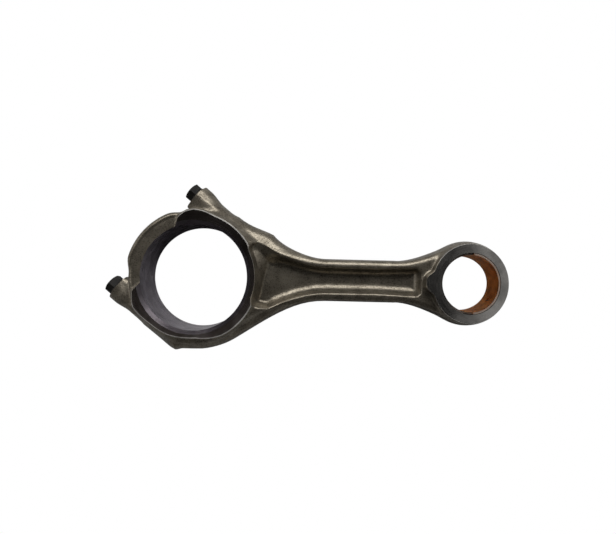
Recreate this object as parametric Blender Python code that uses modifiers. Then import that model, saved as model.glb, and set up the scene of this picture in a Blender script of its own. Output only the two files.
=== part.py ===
"""Angle-split diesel connecting rod: forged body, cap, two cap bolts and pin bush, lying flat, in metres.

The drawing frame has its origin on the crank bore's centre, +X along the rod to the pin bore and +Z along
both bores. The finished rod lies on its lower thrust faces with the origin below the middle of its box.
"""

import math

import bmesh
import bpy
from mathutils import Matrix, Vector

MM = 0.001

# Main sizes
ROD_CENTRES = 192.0 * MM
CRANK_BORE_RADIUS = 36.5 * MM
CRANK_BORE_CHAMFER = 2.5 * MM
BIG_END_WIDTH = 38.0 * MM
PIN_BORE_RADIUS = 20.0 * MM
BUSH_WALL = 1.5 * MM
MATING_GAP = 0.3 * MM

# Forged big end
THRUST_FACE_WALL = 8.5 * MM
THRUST_FACE_STEP = 2.0 * MM
CAP_FACE_STEP = 1.8 * MM
BORE_WALL = 10.0 * MM
CAP_RIM_WALL = 12.7 * MM
CAP_CROWN_INSET = 0.6 * MM
CAP_RIM_HALF_ARC = math.radians(24)
CAP_RELIEF_HALF_WIDTH = 29.0 * MM
HEEL_WALL = 14.3 * MM
HEEL_BELOW_BORE = 15.7 * MM
HEEL_CORNER_WIDTH = 4.0 * MM
HEEL_FLOOR_END = -2.0 * MM
HEEL_ARC_START = math.radians(-86)
HEEL_ARC_END = math.radians(-57)
NECK_ANGLE = math.radians(40)
NECK_SLOPE_FROM_BORE = 4.0 * MM
NECK_SLOPE_BEFORE_BEAM = 15.0 * MM
EDGE_CHAMFER = 2.5 * MM
SPLIT_ANGLE = math.radians(50.5)

# Cap bolts, measured in the split plane's own frame
BOLT_SHANK_RADIUS = 5.0 * MM
BOLT_BORE_WALL = 1.8 * MM
BOLT_HEAD_ACROSS_FLATS = 12.0 * MM
BOLT_HEAD_HEIGHT = 5.2 * MM
BOLT_FLANGE_HEIGHT = 1.4 * MM
BOLT_FLANGE_OVERHANG = 0.9 * MM
BOLT_FLANGE_SLOPE = 0.3 * MM
BOLT_NECK_INSET = 0.2 * MM
BOLT_NECK_RISE = 0.5 * MM
BOLT_TIP_CHAMFER = 0.8 * MM
BOLT_REACH = 18.0 * MM
BOLT_HOLE_EXTRA_DEPTH = 1.5 * MM
SEAT_ABOVE_BORE = 1.2 * MM
BOSS_OUTER_WALL = 2.7 * MM
BOSS_INNER_WIDTH = 5.8 * MM
BOSS_VALLEY_DROP = 2.6 * MM
BOSS_BACK = 20.0 * MM
BOSS_BACK_FLARE = 5.5 * MM

# Beam
BEAM_WIDTH = 29.6 * MM
BEAM_DEPTH = 24.0 * MM
WEB_THICKNESS = 7.0 * MM
FLANGE_HEIGHT = 6.2 * MM
POCKET_BORE_WALL = 10.0 * MM
POCKET_CORNER = 4.0 * MM
POCKET_BORE_SPREAD = math.radians(20)
POCKET_MOUTH_LENGTH = 5.0 * MM
POCKET_MOUTH_RISE = 1.5 * MM
POCKET_MOUTH_HEADING = math.radians(140)
POCKET_MOUTH_PULL = 0.8
POCKET_FLARE = 0.6 * MM
POCKET_END_FLARE = 1.0 * MM
BEAM_START_FROM_BORE = 55.0 * MM
BEAM_FLARE_PULL = 0.9
BEAM_END_FROM_PIN = 52.0 * MM

# Forged small end
EYE_WALL = 8.8 * MM
EYE_HALF_WIDTH = 14.0 * MM
EYE_TAPER = math.radians(8)
EYE_SHOULDER_ANGLE = math.radians(110)
EYE_SHOULDER_HEADING = math.radians(225)
EYE_FACE_REACH = 1.5 * MM
POCKET_EYE_WALL = 4.6 * MM
BUSH_RECESS = 0.4 * MM
BUSH_STEP = 1.2 * MM
BUSH_STEP_OFFSET = 1.5 * MM
OIL_HOLE_RADIUS = 1.6 * MM
OIL_HOLE_ANGLE = math.radians(-35)

ARC_STEP = math.radians(5)
BORE_SIDES = 96
HOLE_SIDES = 24
BLEND_STEPS = 9
OVERRUN = 20.0 * MM

housing_radius = PIN_BORE_RADIUS + BUSH_WALL
eye_radius = housing_radius + EYE_WALL
bolt_half_spacing = CRANK_BORE_RADIUS + BOLT_BORE_WALL + BOLT_SHANK_RADIUS
boss_half_spread = bolt_half_spacing + BOLT_SHANK_RADIUS + BOSS_OUTER_WALL
seat_height = CRANK_BORE_RADIUS + SEAT_ABOVE_BORE
thrust_height = BIG_END_WIDTH / 2
big_end_outer = CRANK_BORE_RADIUS + HEEL_WALL


def empty(name, parent=None, location=(0, 0, 0), turn=0.0):
    frame = bpy.data.objects.new(name, None)
    frame.location = location
    frame.rotation_euler = (0, 0, turn)
    frame.parent = parent
    bpy.context.scene.collection.objects.link(frame)
    return frame


def adopt(obj, name, collection, parent, location=(0, 0, 0), rotation=(0, 0, 0)):
    obj.name = name
    obj.parent = parent
    obj.location = location
    obj.rotation_euler = rotation
    collection.objects.link(obj)
    return obj


def as_cutter(obj):
    obj.hide_render = True
    obj.display_type = "WIRE"
    return obj


def from_bmesh(name, mesh_data):
    mesh = bpy.data.meshes.new(name)
    mesh_data.to_mesh(mesh)
    mesh_data.free()
    return bpy.data.objects.new(name, mesh)


def extruded(name, outline, half_height, chamfer=0.0):
    """A flat outline, filled and extruded to both sides of its plane, with its rims chamfered."""
    curve = bpy.data.curves.new(name, "CURVE")
    curve.dimensions = "2D"
    curve.fill_mode = "BOTH"
    curve.extrude = half_height
    spline = curve.splines.new("POLY")
    spline.points.add(len(outline) - 1)
    for point, (x, y) in zip(spline.points, outline):
        point.co = (x, y, 0, 1)
    spline.use_cyclic_u = True
    flat = bpy.data.objects.new(name, curve)
    bpy.context.scene.collection.objects.link(flat)
    graph = bpy.context.evaluated_depsgraph_get()
    mesh = bpy.data.meshes.new_from_object(flat.evaluated_get(graph))
    bpy.data.objects.remove(flat)
    solid = bmesh.new()
    solid.from_mesh(mesh)
    bmesh.ops.remove_doubles(solid, verts=solid.verts, dist=0.01 * MM)
    bmesh.ops.recalc_face_normals(solid, faces=solid.faces)
    if chamfer:
        bmesh.ops.dissolve_limit(solid, angle_limit=0.001, verts=solid.verts, edges=solid.edges)
        rims = [edge for edge in solid.edges if edge.verts[0].co.z * edge.verts[1].co.z > 0]
        bmesh.ops.bevel(solid, geom=rims, offset=chamfer, segments=1, affect="EDGES")
    return from_bmesh(name, solid)


def box(name, low, high):
    cube = bmesh.new()
    bmesh.ops.create_cube(cube, size=1)
    low = Vector(low)
    high = Vector(high)
    bmesh.ops.scale(cube, verts=cube.verts, vec=high - low)
    bmesh.ops.translate(cube, verts=cube.verts, vec=(low + high) / 2)
    return from_bmesh(name, cube)


def rod(name, radius, half_length, sides):
    """A cylinder about Z, centred on its origin."""
    bar = bmesh.new()
    bmesh.ops.create_cone(
        bar, cap_ends=True, segments=sides, radius1=radius, radius2=radius, depth=2 * half_length
    )
    return from_bmesh(name, bar)


def turned(name, profile, sides):
    """A profile of (radius, height) points, top to bottom, swept about Z."""
    outline = bmesh.new()
    points = [outline.verts.new((radius, 0, height)) for radius, height in profile]
    for first, second in zip(points, points[1:]):
        outline.edges.new((first, second))
    obj = from_bmesh(name, outline)
    screw = obj.modifiers.new("turn", "SCREW")
    screw.axis = "Z"
    screw.steps = sides
    screw.render_steps = sides
    screw.use_merge_vertices = True
    screw.merge_threshold = 0.01 * MM
    return obj


def boolean(obj, other, operation):
    modifier = obj.modifiers.new(f"{operation.lower()} {other.name}", "BOOLEAN")
    modifier.object = other
    modifier.operation = operation
    modifier.solver = "EXACT"


def arc(centre, radius, start, end):
    count = max(2, round(abs(end - start) / ARC_STEP))
    angles = [start + (end - start) * i / count for i in range(count + 1)]
    return [(centre[0] + radius * math.cos(a), centre[1] + radius * math.sin(a)) for a in angles]


def blend(start, start_angle, end, end_angle, pull=1.0):
    """A smooth curve between two points, leaving and arriving at the given headings, without its ends."""
    start = Vector(start)
    end = Vector(end)
    reach = (end - start).length * pull
    leave = Vector((math.cos(start_angle), math.sin(start_angle))) * reach
    arrive = Vector((math.cos(end_angle), math.sin(end_angle))) * reach
    points = []
    for i in range(1, BLEND_STEPS):
        t = i / BLEND_STEPS
        point = (
            start * (2 * t**3 - 3 * t**2 + 1)
            + leave * (t**3 - 2 * t**2 + t)
            + end * (3 * t**2 - 2 * t**3)
            + arrive * (t**3 - t**2)
        )
        points.append(tuple(point))
    return points


def from_split(across, up):
    """A point given along the split plane and square to it, in the drawing frame."""
    c = math.cos(SPLIT_ANGLE)
    s = math.sin(SPLIT_ANGLE)
    return (across * c - up * s, across * s + up * c)


def mirrored(points):
    return [(x, -y) for x, y in reversed(points)]


def cap_outline():
    """The cap's edge from the upper bolt seat over the crown to the lower seat."""
    seat_inner = bolt_half_spacing - BOLT_SHANK_RADIUS - BOSS_INNER_WIDTH
    valley = seat_height - BOSS_VALLEY_DROP
    rim = CRANK_BORE_RADIUS + CAP_RIM_WALL
    half = [(boss_half_spread, seat_height), (seat_inner, seat_height), (seat_inner - BOSS_VALLEY_DROP, valley)]
    crown = arc((0, 0), rim, math.pi / 2 - CAP_RIM_HALF_ARC, math.pi / 2 + CAP_RIM_HALF_ARC)
    other = [(-across, up) for across, up in reversed(half)]
    return [from_split(across, up) for across, up in half + crown + other]


def beam_stations():
    return BEAM_START_FROM_BORE + CRANK_BORE_RADIUS, ROD_CENTRES - BEAM_END_FROM_PIN


def eye_and_shoulder():
    """The pin eye, counter-clockwise from below, and the curve from its top down to the beam."""
    beam_end = beam_stations()[1]
    eye = arc((ROD_CENTRES, 0), eye_radius, -EYE_SHOULDER_ANGLE, EYE_SHOULDER_ANGLE)
    leaving = EYE_SHOULDER_ANGLE + math.pi / 2
    shoulder = blend(eye[-1], leaving, (beam_end, BEAM_WIDTH / 2), math.pi)
    return eye, shoulder


def low_outline():
    """The whole forging seen along the bores, with its bolt bosses, counter-clockwise from the eye."""
    beam_start, beam_end = beam_stations()
    half_beam = BEAM_WIDTH / 2
    eye, eye_shoulder = eye_and_shoulder()
    boss_front = from_split(boss_half_spread, 0)
    boss_back = from_split(boss_half_spread + BOSS_BACK_FLARE, -BOSS_BACK)
    heading = SPLIT_ANGLE + math.pi / 2
    upper = (
        [(beam_end, half_beam), (beam_start, half_beam)]
        + blend((beam_start, half_beam), math.pi, boss_back, heading, BEAM_FLARE_PULL)
        + [boss_back, boss_front]
    )
    heel_corner = from_split(-boss_half_spread, -BOSS_BACK)
    heel_floor = -CRANK_BORE_RADIUS - HEEL_BELOW_BORE
    heel = arc((0, 0), big_end_outer, HEEL_ARC_START, HEEL_ARC_END)
    leaving = HEEL_ARC_END + math.pi / 2
    lower = (
        [heel_corner, (heel_corner[0] + HEEL_CORNER_WIDTH, heel_floor), (HEEL_FLOOR_END, heel_floor)]
        + heel
        + blend(heel[-1], leaving, (beam_start, -half_beam), 0.0)
        + [(beam_start, -half_beam), (beam_end, -half_beam)]
    )
    return eye + eye_shoulder + upper + cap_outline() + lower + mirrored(eye_shoulder)


def high_outline():
    """The thick middle of the forging: the wall round the crank bore, the beam and the eye, without bosses."""
    beam_start, beam_end = beam_stations()
    half_beam = BEAM_WIDTH / 2 - EDGE_CHAMFER
    eye, eye_shoulder = eye_and_shoulder()
    wall = CRANK_BORE_RADIUS + BORE_WALL
    around = arc((0, 0), wall, NECK_ANGLE, 2 * math.pi - NECK_ANGLE)
    neck = blend((beam_start, half_beam), math.pi, around[0], NECK_ANGLE + math.pi / 2)
    half = eye_shoulder + [(beam_end, half_beam), (beam_start, half_beam)] + neck
    return eye + half + around + mirrored(half)


def face_height(x):
    """Half the eye's thickness at x: its machined faces lean together towards the far end."""
    return EYE_HALF_WIDTH - (x - ROD_CENTRES) * math.tan(EYE_TAPER)


def side_outline():
    """The forging seen across the rod: thick at the big end, thin along the beam, tapering at the eye."""
    beam_start, beam_end = beam_stations()
    forged = thrust_height - THRUST_FACE_STEP
    half_beam = BEAM_DEPTH / 2
    left = -seat_height - boss_half_spread - OVERRUN
    swell = CRANK_BORE_RADIUS + NECK_SLOPE_FROM_BORE
    slope_end = beam_start - NECK_SLOPE_BEFORE_BEAM
    rise = ROD_CENTRES - eye_radius - EYE_FACE_REACH
    right = ROD_CENTRES + eye_radius + OVERRUN
    top = (
        [(right, face_height(right)), (rise, face_height(rise))]
        + blend((rise, face_height(rise)), EYE_SHOULDER_HEADING, (beam_end, half_beam), math.pi)
        + [(beam_end, half_beam), (slope_end, half_beam)]
        + blend((slope_end, half_beam), math.pi, (swell, forged), math.pi)
        + [(swell, forged), (left, forged)]
    )
    return top + mirrored(top)


def pocket_outline():
    """The recess between the flanges: round at the big end's wall, blunt towards the eye."""
    beam_start, beam_end = beam_stations()
    half = BEAM_WIDTH / 2 - FLANGE_HEIGHT
    wall = CRANK_BORE_RADIUS + POCKET_BORE_WALL
    spread = POCKET_BORE_SPREAD
    end = ROD_CENTRES - eye_radius - POCKET_EYE_WALL
    corner = (end - POCKET_CORNER, half + POCKET_END_FLARE - POCKET_CORNER)
    bore_wall = arc((0, 0), wall, spread, -spread)
    mouth = (wall * math.cos(spread) + POCKET_MOUTH_LENGTH, wall * math.sin(spread) + POCKET_MOUTH_RISE)
    upper = (
        arc(corner, POCKET_CORNER, 0, math.pi / 2)
        + [(beam_end, half + POCKET_FLARE), (beam_start, half)]
        + blend((beam_start, half), math.pi, mouth, POCKET_MOUTH_HEADING, POCKET_MOUTH_PULL)
        + [mouth]
    )
    return upper + bore_wall[1:-1] + mirrored(upper)


def forged_blank(name, collection, cutters, frame):
    """The bosses' flat plan, the thick middle cut to its side view, and the raised thrust ring, in one."""
    low = extruded(name, low_outline(), BEAM_DEPTH / 2, EDGE_CHAMFER)
    adopt(low, name, collection, frame)
    high = extruded(f"{name}_high", high_outline(), BIG_END_WIDTH)
    as_cutter(adopt(high, f"{name}_high", cutters, frame))
    side = extruded(f"{name}_side_view", side_outline(), 2 * big_end_outer)
    as_cutter(adopt(side, f"{name}_side_view", cutters, frame, rotation=(math.pi / 2, 0, 0)))
    ring = rod(f"{name}_thrust_ring", CRANK_BORE_RADIUS + THRUST_FACE_WALL, thrust_height, BORE_SIDES)
    as_cutter(adopt(ring, f"{name}_thrust_ring", cutters, frame))
    boolean(high, side, "INTERSECT")
    boolean(low, high, "UNION")
    boolean(low, ring, "UNION")
    return low


def bore_cutters(cutters, frame):
    """The crank bore with both chamfers, and the pin bore for the bush."""
    mouth = CRANK_BORE_RADIUS + CRANK_BORE_CHAMFER
    shoulder = thrust_height - CRANK_BORE_CHAMFER
    profile = [
        (0, thrust_height + OVERRUN),
        (mouth + OVERRUN, thrust_height + OVERRUN),
        (CRANK_BORE_RADIUS, shoulder),
        (CRANK_BORE_RADIUS, -shoulder),
        (mouth + OVERRUN, -thrust_height - OVERRUN),
        (0, -thrust_height - OVERRUN),
    ]
    crank = turned("crank_bore", profile, BORE_SIDES)
    as_cutter(adopt(crank, "crank_bore", cutters, frame))
    pin = rod("pin_bore", housing_radius, BIG_END_WIDTH, BORE_SIDES)
    as_cutter(adopt(pin, "pin_bore", cutters, frame, location=(ROD_CENTRES, 0, 0)))
    return crank, pin


def oil_hole_cutter(cutters, frame):
    hole = rod("oil_hole", OIL_HOLE_RADIUS, eye_radius, 12)
    middle = (
        ROD_CENTRES + eye_radius * math.cos(OIL_HOLE_ANGLE),
        eye_radius * math.sin(OIL_HOLE_ANGLE),
        0,
    )
    turn = Matrix.Rotation(OIL_HOLE_ANGLE, 3, "Z") @ Matrix.Rotation(math.pi / 2, 3, "Y")
    return as_cutter(adopt(hole, "oil_hole", cutters, frame, middle, turn.to_euler()))


def bolt_hole_cutters(cutters, split):
    holes = []
    bottom = -BOLT_REACH - BOLT_HOLE_EXTRA_DEPTH
    top = seat_height + OVERRUN
    for side, across in (("upper", bolt_half_spacing), ("lower", -bolt_half_spacing)):
        hole = rod(f"bolt_hole_{side}", BOLT_SHANK_RADIUS + MATING_GAP, (top - bottom) / 2, HOLE_SIDES)
        place = (across, (top + bottom) / 2, 0)
        as_cutter(adopt(hole, f"bolt_hole_{side}", cutters, split, place, (math.pi / 2, 0, 0)))
        holes.append(hole)
    return holes


def make_rod_body(collection, cutters, frame, split, bores, holes, oil_hole):
    body = forged_blank("rod_body", collection, cutters, frame)
    reach = 2 * big_end_outer
    beyond = box("cap_side", (-reach, -MATING_GAP / 2, -reach), (reach, reach, reach))
    as_cutter(adopt(beyond, "cap_side", cutters, split))
    boolean(body, beyond, "DIFFERENCE")
    for side, turn in (("upper", 0.0), ("under", math.pi)):
        pocket = extruded(f"pocket_{side}", pocket_outline(), OVERRUN / 2)
        lift = (WEB_THICKNESS + OVERRUN) / 2 * math.cos(turn)
        as_cutter(adopt(pocket, f"pocket_{side}", cutters, frame, (0, 0, lift)))
        boolean(body, pocket, "DIFFERENCE")
    for cutter in (*bores, *holes, oil_hole):
        boolean(body, cutter, "DIFFERENCE")
    return body


def make_bearing_cap(collection, cutters, frame, split, crank_bore, holes):
    cap = forged_blank("bearing_cap", collection, cutters, frame)
    crown_height = thrust_height - CAP_FACE_STEP
    crown_radius = CRANK_BORE_RADIUS + CAP_RIM_WALL - EDGE_CHAMFER - CAP_CROWN_INSET
    crown = rod("cap_crown", crown_radius, crown_height, BORE_SIDES)
    as_cutter(adopt(crown, "cap_crown", cutters, split))
    wide = CAP_RELIEF_HALF_WIDTH
    middle = box("cap_middle", (-wide, OVERRUN, -OVERRUN), (wide, 2 * big_end_outer, OVERRUN))
    as_cutter(adopt(middle, "cap_middle", cutters, split))
    boolean(crown, middle, "INTERSECT")
    boolean(cap, crown, "UNION")
    reach = 2 * ROD_CENTRES
    beyond = box("rod_side", (-reach, -reach, -reach), (reach, MATING_GAP / 2, reach))
    as_cutter(adopt(beyond, "rod_side", cutters, split))
    boolean(cap, beyond, "DIFFERENCE")
    boolean(cap, crank_bore, "DIFFERENCE")
    for hole in holes:
        boolean(cap, hole, "DIFFERENCE")
    for side, sign in (("upper", 1), ("under", -1)):
        low, high = sorted((sign * crown_height, sign * (crown_height + OVERRUN)))
        relief = box(f"cap_relief_{side}", (-wide, OVERRUN, low), (wide, 2 * big_end_outer, high))
        as_cutter(adopt(relief, f"cap_relief_{side}", cutters, split))
        boolean(cap, relief, "DIFFERENCE")
    return cap


def make_cap_bolt(name, collection, cutters, split, across):
    """A bolt about its local Z, its head's underside on the origin, turned to lie square to the split plane."""
    tip = -seat_height - BOLT_REACH
    neck = BOLT_FLANGE_HEIGHT + BOLT_NECK_RISE
    flange_radius = BOLT_HEAD_ACROSS_FLATS / 2 + BOLT_FLANGE_OVERHANG
    profile = [
        (0, neck),
        (BOLT_HEAD_ACROSS_FLATS / 2 - BOLT_NECK_INSET, neck),
        (flange_radius, BOLT_FLANGE_HEIGHT - BOLT_FLANGE_SLOPE),
        (flange_radius, 0),
        (BOLT_SHANK_RADIUS, 0),
        (BOLT_SHANK_RADIUS, tip + BOLT_TIP_CHAMFER),
        (BOLT_SHANK_RADIUS - BOLT_TIP_CHAMFER, tip),
        (0, tip),
    ]
    turn = Matrix(((0, 1, 0), (0, 0, 1), (1, 0, 0))).to_euler()
    place = (across, seat_height + MATING_GAP, 0)
    bolt = adopt(turned(name, profile, HOLE_SIDES), name, collection, split, place, turn)
    head = bmesh.new()
    corner_radius = BOLT_HEAD_ACROSS_FLATS / math.sqrt(3)
    bmesh.ops.create_cone(
        head, cap_ends=True, segments=6, radius1=corner_radius, radius2=corner_radius, depth=BOLT_HEAD_HEIGHT
    )
    bmesh.ops.translate(head, verts=head.verts, vec=(0, 0, BOLT_FLANGE_HEIGHT + BOLT_HEAD_HEIGHT / 2))
    hexagon = adopt(from_bmesh(f"{name}_hexagon", head), f"{name}_hexagon", cutters, split, place, turn)
    as_cutter(hexagon)
    boolean(bolt, hexagon, "UNION")
    return bolt


def make_bush(collection, cutters, frame, oil_hole):
    """A pressed bush: its ends follow the eye's lean, with a square step down on the beam's side."""
    centre = (ROD_CENTRES, 0, 0)
    outer = housing_radius - MATING_GAP
    bush = adopt(
        rod("small_end_bush", outer, BIG_END_WIDTH, BORE_SIDES), "small_end_bush", collection, frame, centre
    )
    near = -outer - OVERRUN
    far = outer + OVERRUN
    height = EYE_HALF_WIDTH - BUSH_RECESS
    fall = math.tan(EYE_TAPER)
    ends = [(far, height - far * fall), (near, height - near * fall)]
    leaning = extruded("bush_ends", ends + mirrored(ends), far)
    as_cutter(adopt(leaning, "bush_ends", cutters, frame, centre, (math.pi / 2, 0, 0)))
    boolean(bush, leaning, "INTERSECT")
    bore = rod("bush_bore", PIN_BORE_RADIUS, BIG_END_WIDTH + OVERRUN, BORE_SIDES)
    as_cutter(adopt(bore, "bush_bore", cutters, frame, centre))
    boolean(bush, bore, "DIFFERENCE")
    step = height - BUSH_STEP_OFFSET * fall - BUSH_STEP
    for side, sign in (("upper", 1), ("under", -1)):
        low, high = sorted((sign * step, sign * (step + OVERRUN)))
        square = box(f"bush_step_{side}", (near, near, low), (BUSH_STEP_OFFSET, far, high))
        as_cutter(adopt(square, f"bush_step_{side}", cutters, frame, centre))
        boolean(bush, square, "DIFFERENCE")
    boolean(bush, oil_hole, "DIFFERENCE")
    return bush


def finish(obj, name, colour, roughness, metallic):
    """Gives a piece its own material, smooth on round surfaces and crisp at machined edges."""
    material = bpy.data.materials.new(name)
    material.use_nodes = True
    shader = next(node for node in material.node_tree.nodes if node.type == "BSDF_PRINCIPLED")
    shader.inputs["Base Color"].default_value = (*colour, 1)
    shader.inputs["Roughness"].default_value = roughness
    shader.inputs["Metallic"].default_value = metallic
    material.diffuse_color = (*colour, 1)
    obj.data.materials.append(material)
    obj.data.shade_smooth()
    obj.data.set_sharp_from_angle(angle=math.radians(30))


def rest_on_origin(frame, parts):
    """Moves the whole rod so the middle of its box's underside is the origin."""
    bpy.context.view_layer.update()
    graph = bpy.context.evaluated_depsgraph_get()
    corners = []
    for part in parts:
        evaluated = part.evaluated_get(graph)
        mesh = evaluated.to_mesh()
        corners += [evaluated.matrix_world @ vertex.co for vertex in mesh.vertices]
        evaluated.to_mesh_clear()
    low = Vector([min(corner[axis] for corner in corners) for axis in range(3)])
    high = Vector([max(corner[axis] for corner in corners) for axis in range(3)])
    frame.location = (-(low.x + high.x) / 2, -(low.y + high.y) / 2, -low.z)


def main():
    for obj in list(bpy.data.objects):
        bpy.data.objects.remove(obj)
    parts = bpy.data.collections.new("connecting_rod")
    cutters = bpy.data.collections.new("cutters")
    bpy.context.scene.collection.children.link(parts)
    bpy.context.scene.collection.children.link(cutters)
    frame = empty("rod_frame")
    split = empty("split_frame", frame, turn=SPLIT_ANGLE)

    crank_bore, pin_bore = bore_cutters(cutters, frame)
    holes = bolt_hole_cutters(cutters, split)
    oil_hole = oil_hole_cutter(cutters, frame)
    body = make_rod_body(parts, cutters, frame, split, (crank_bore, pin_bore), holes, oil_hole)
    cap = make_bearing_cap(parts, cutters, frame, split, crank_bore, holes)
    upper = make_cap_bolt("cap_bolt_upper", parts, cutters, split, bolt_half_spacing)
    lower = make_cap_bolt("cap_bolt_lower", parts, cutters, split, -bolt_half_spacing)
    bush = make_bush(parts, cutters, frame, oil_hole)

    finish(body, "forged_steel_body", (0.085, 0.075, 0.066), 0.42, 0.85)
    finish(cap, "forged_steel_cap", (0.085, 0.075, 0.066), 0.42, 0.85)
    finish(upper, "black_oxide_upper", (0.018, 0.017, 0.016), 0.5, 0.6)
    finish(lower, "black_oxide_lower", (0.018, 0.017, 0.016), 0.5, 0.6)
    finish(bush, "bush_bronze", (0.52, 0.24, 0.1), 0.3, 0.9)
    rest_on_origin(frame, (body, cap, upper, lower, bush))


main()
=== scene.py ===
# Angle-split connecting rod: a forged blank, then the machining cuts, the bush, the bolts and the finishes.
import math

import bmesh
import bpy
import numpy as np
import openvdb
from mathutils import Matrix, Vector


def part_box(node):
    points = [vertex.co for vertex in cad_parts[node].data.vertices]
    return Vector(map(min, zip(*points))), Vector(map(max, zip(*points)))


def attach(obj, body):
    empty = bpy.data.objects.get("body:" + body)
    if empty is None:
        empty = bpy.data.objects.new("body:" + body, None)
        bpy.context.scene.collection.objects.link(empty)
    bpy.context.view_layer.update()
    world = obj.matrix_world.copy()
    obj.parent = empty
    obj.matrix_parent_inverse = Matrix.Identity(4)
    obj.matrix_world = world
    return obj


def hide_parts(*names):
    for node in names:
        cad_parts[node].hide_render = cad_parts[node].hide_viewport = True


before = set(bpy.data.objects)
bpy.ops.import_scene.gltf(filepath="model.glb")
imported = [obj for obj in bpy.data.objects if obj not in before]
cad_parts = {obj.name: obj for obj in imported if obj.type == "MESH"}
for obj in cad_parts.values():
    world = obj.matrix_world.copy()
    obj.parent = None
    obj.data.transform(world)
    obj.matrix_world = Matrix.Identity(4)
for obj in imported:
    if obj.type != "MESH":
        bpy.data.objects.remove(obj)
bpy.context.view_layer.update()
scene = bpy.context.scene
mm = 0.001

# The pin bush gives the pin bore's middle, and everything else is measured from the crank bore's middle.
rod = {"centres": 192.0, "crankRadius": 36.5, "pinRadius": 20.0, "splitAngle": math.radians(50.5)}
bushLow, bushHigh = (Vector(corner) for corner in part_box("small_end_bush"))
crankCentre = (bushLow + bushHigh) / 2 - Vector((rod["centres"] * mm, 0, 0))
alongSplit = (math.cos(rod["splitAngle"]), math.sin(rod["splitAngle"]))


def fromSplit(across, up):
    c, s = alongSplit
    return (across * c - up * s, across * s + up * c)


def toWorld():
    return Matrix.Translation(crankCentre) @ Matrix.Scale(mm, 4)


def inSplit():
    return Matrix.Rotation(rod["splitAngle"], 4, "Z")


def addObject(name, mesh):
    obj = bpy.data.objects.new(name, mesh)
    scene.collection.objects.link(obj)
    return obj


def meshFrom(name, build):
    mesh = bpy.data.meshes.new(name)
    bmesh.ops.recalc_face_normals(build, faces=build.faces)
    build.to_mesh(mesh)
    build.free()
    return mesh


def arc(centre, radius, start, end, step=4):
    count = max(2, round(abs(end - start) / step))
    turns = [math.radians(start + (end - start) * i / count) for i in range(count + 1)]
    return [(centre[0] + radius * math.cos(t), centre[1] + radius * math.sin(t)) for t in turns]


def sweep(start, startHeading, end, endHeading, pull=1.0, count=12):
    # A smooth curve that leaves and arrives at the given headings, in degrees, without its two ends.
    a = Vector(start)
    b = Vector(end)
    reach = (b - a).length * pull
    leave = Vector((math.cos(math.radians(startHeading)), math.sin(math.radians(startHeading)))) * reach
    arrive = Vector((math.cos(math.radians(endHeading)), math.sin(math.radians(endHeading)))) * reach
    points = []
    for i in range(1, count):
        t = i / count
        points.append(tuple(
            a * (2 * t**3 - 3 * t**2 + 1) + leave * (t**3 - 2 * t**2 + t)
            + b * (3 * t**2 - 2 * t**3) + arrive * (t**3 - t**2)
        ))
    return points


def mirrored(points):
    return [(x, -y) for x, y in reversed(points)]


# Fields are negative inside the metal and grow by about one a millimetre, so rounded joins are plain sums.
def smoothMax(a, b, width):
    share = np.clip(0.5 + 0.5 * (a - b) / width, 0, 1)
    return b + (a - b) * share + width * share * (1 - share)


def smoothMin(a, b, width):
    return -smoothMax(-a, -b, width)


def ease(x, low, high):
    t = np.clip((x - low) / (high - low), 0, 1)
    return t * t * (3 - 2 * t)


def outlineField(points, x, y):
    # Signed distance to a closed outline, over the whole plan.
    best = np.full(x.shape, 1e9, np.float32)
    inside = np.zeros(x.shape, bool)
    for (ax, ay), (bx, by) in zip(points, points[1:] + points[:1]):
        dx, dy = bx - ax, by - ay
        along = np.clip(((x - ax) * dx + (y - ay) * dy) / (dx * dx + dy * dy + 1e-12), 0, 1)
        gapX = x - ax - along * dx
        gapY = y - ay - along * dy
        best = np.minimum(best, gapX * gapX + gapY * gapY)
        if ay != by:
            crossed = ((ay > y) != (by > y)) & (x < (y - ay) * dx / dy + ax)
            inside ^= crossed
    return np.where(inside, -1, 1).astype(np.float32) * np.sqrt(best)


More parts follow.
